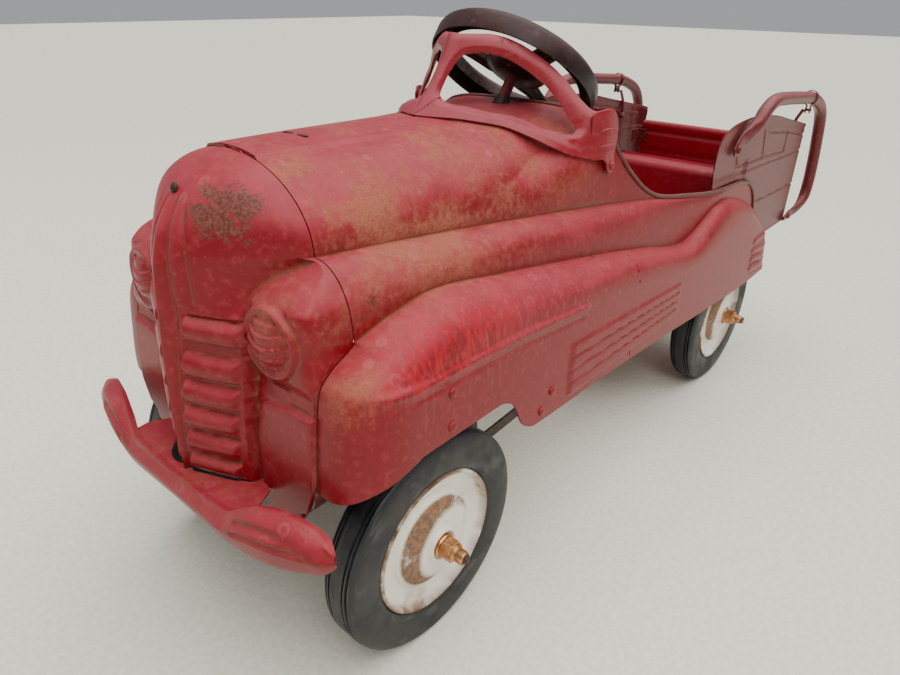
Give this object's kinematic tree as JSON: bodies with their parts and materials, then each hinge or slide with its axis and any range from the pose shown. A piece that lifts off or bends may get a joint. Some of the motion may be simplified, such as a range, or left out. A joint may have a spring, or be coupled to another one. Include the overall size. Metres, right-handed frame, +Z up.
{
  "type": "pedal car",
  "caption": "Child's pressed-steel pedal car with a rounded hood and nose, V windshield frame, wagon back with side rails, steered front wheels and a cranked rear axle.",
  "frame": {"origin": "on the floor below the middle of the bounding box", "axes": "+Z up, -Y towards the nose, +X towards the car's left side"},
  "size_m": [0.376, 1.0788, 0.5078],
  "materials": {
    "red_paint": "worn, faded red enamel with rust",
    "faded_paint": "chalky, faded red enamel",
    "brown_paint": "dull, brownish red enamel with rust",
    "cream_paint": "cream enamel with rust patches",
    "tyre": "ribbed black rubber, worn",
    "pedal_rubber": "ribbed black rubber",
    "brass": "coppery, slightly tarnished",
    "bare_steel": "dark, slightly rusty steel"
  },
  "bodies": {
    "chassis": {"main_body": "red_paint", "nose_panel": "red_paint", "front_bumper": "red_paint", "windshield_frame": "faded_paint", "left_windshield_fin": "faded_paint", "right_windshield_fin": "faded_paint", "seat_pan": "red_paint", "rear_deck": "red_paint", "tailgate": "red_paint", "left_side_panel": "brown_paint", "right_side_panel": "brown_paint", "left_rail": "brown_paint", "right_rail": "brown_paint", "left_rail_clip": "brown_paint", "right_rail_clip": "brown_paint", "left_rail_stay": "brown_paint", "right_rail_stay": "brown_paint", "left_tailgate_tab": "red_paint", "right_tailgate_tab": "red_paint", "front_axle_beam": "bare_steel", "left_front_axle_hanger": "red_paint", "right_front_axle_hanger": "red_paint", "column_bush": "bare_steel", "column_bracket": "bare_steel", "left_rear_hanger": "bare_steel", "right_rear_hanger": "bare_steel", "left_axle_bush": "bare_steel", "right_axle_bush": "bare_steel", "pedal_hanger_bar": "bare_steel"},
    "steering": {"steering_column": "brown_paint", "steering_wheel": "brown_paint", "steering_wheel_nut": "bare_steel"},
    "left_steered_axle": {"left_spindle": "bare_steel", "left_front_axle_nut": "brass"},
    "right_steered_axle": {"right_spindle": "bare_steel", "right_front_axle_nut": "brass"},
    "steering_tie": {"tie_rod": "bare_steel"},
    "left_front_wheel": {"left_front_tyre": "tyre", "left_front_wheel_disc": "cream_paint"},
    "right_front_wheel": {"right_front_tyre": "tyre", "right_front_wheel_disc": "cream_paint"},
    "crank_axle": {"rear_crank_axle": "bare_steel", "left_rear_tyre": "tyre", "left_rear_wheel_disc": "cream_paint", "left_rear_axle_nut": "brass", "right_rear_axle_nut": "brass"},
    "right_rear_wheel": {"right_rear_tyre": "tyre", "right_rear_wheel_disc": "cream_paint"},
    "left_rod": {"left_pedal_rod": "bare_steel"},
    "right_rod": {"right_pedal_rod": "bare_steel"},
    "left_pedal": {"left_pedal_arm": "bare_steel"},
    "right_pedal": {"right_pedal_arm": "bare_steel"},
    "left_tread": {"left_pedal_block": "pedal_rubber"},
    "right_tread": {"right_pedal_block": "pedal_rubber"}
  },
  "joints": [
    {"name": "steering_turn", "type": "hinge", "parent": "chassis", "child": "steering", "pos_m": [0, -0.1064, 0.444], "axis": [0, 0.5948, 0.8039], "range_deg": [-40, 40]},
    {"name": "left_kingpin_turn", "type": "hinge", "parent": "chassis", "child": "left_steered_axle", "pos_m": [0.114, -0.3904, 0.1016], "axis": [0, 0, 1], "range_deg": [-16, 16]},
    {"name": "right_kingpin_turn", "type": "hinge", "parent": "chassis", "child": "right_steered_axle", "pos_m": [-0.114, -0.3904, 0.1016], "axis": [0, 0, 1], "range_deg": [-16, 16]},
    {"name": "tie_rod_pin", "type": "hinge", "parent": "left_steered_axle", "child": "steering_tie", "pos_m": [0.114, -0.3344, 0.0976], "axis": [0, 0, 1], "range_deg": [-16, 16]},
    {"name": "left_front_wheel_spin", "type": "hinge", "parent": "left_steered_axle", "child": "left_front_wheel", "pos_m": [0.139, -0.3904, 0.1016], "axis": [1, 0, 0], "continuous": true},
    {"name": "right_front_wheel_spin", "type": "hinge", "parent": "right_steered_axle", "child": "right_front_wheel", "pos_m": [-0.139, -0.3904, 0.1016], "axis": [1, 0, 0], "continuous": true},
    {"name": "crank_turn", "type": "hinge", "parent": "chassis", "child": "crank_axle", "pos_m": [0, 0.2316, 0.1016], "axis": [1, 0, 0], "continuous": true},
    {"name": "right_rear_wheel_spin", "type": "hinge", "parent": "crank_axle", "child": "right_rear_wheel", "pos_m": [-0.139, 0.2316, 0.1016], "axis": [1, 0, 0], "continuous": true},
    {"name": "left_rod_pin", "type": "hinge", "parent": "crank_axle", "child": "left_rod", "pos_m": [0.0865, 0.2316, 0.1366], "axis": [1, 0, 0], "continuous": true},
    {"name": "right_rod_pin", "type": "hinge", "parent": "crank_axle", "child": "right_rod", "pos_m": [-0.0865, 0.2316, 0.0666], "axis": [1, 0, 0], "continuous": true},
    {"name": "left_pedal_swing", "type": "hinge", "parent": "chassis", "child": "left_pedal", "pos_m": [0.082, -0.2604, 0.19], "axis": [1, 0, 0], "range_deg": [-22, 22]},
    {"name": "right_pedal_swing", "type": "hinge", "parent": "chassis", "child": "right_pedal", "pos_m": [-0.082, -0.2604, 0.19], "axis": [1, 0, 0], "range_deg": [-22, 22]},
    {"name": "left_tread_turn", "type": "hinge", "parent": "left_pedal", "child": "left_tread", "pos_m": [0.047, -0.2604, 0.104], "axis": [1, 0, 0], "range_deg": [-60, 60]},
    {"name": "right_tread_turn", "type": "hinge", "parent": "right_pedal", "child": "right_tread", "pos_m": [-0.047, -0.2604, 0.104], "axis": [1, 0, 0], "range_deg": [-60, 60]}
  ],
  "couplings": [
    {"joint": "left_kingpin_turn", "follows": "steering_turn", "ratio": 0.39},
    {"joint": "right_kingpin_turn", "follows": "steering_turn", "ratio": 0.39},
    {"joint": "tie_rod_pin", "follows": "steering_turn", "ratio": -0.39},
    {"joint": "left_rod_pin", "follows": "crank_turn", "ratio": -1},
    {"joint": "right_rod_pin", "follows": "crank_turn", "ratio": -1},
    {"joint": "right_pedal_swing", "follows": "left_pedal_swing", "ratio": -1}
  ]
}
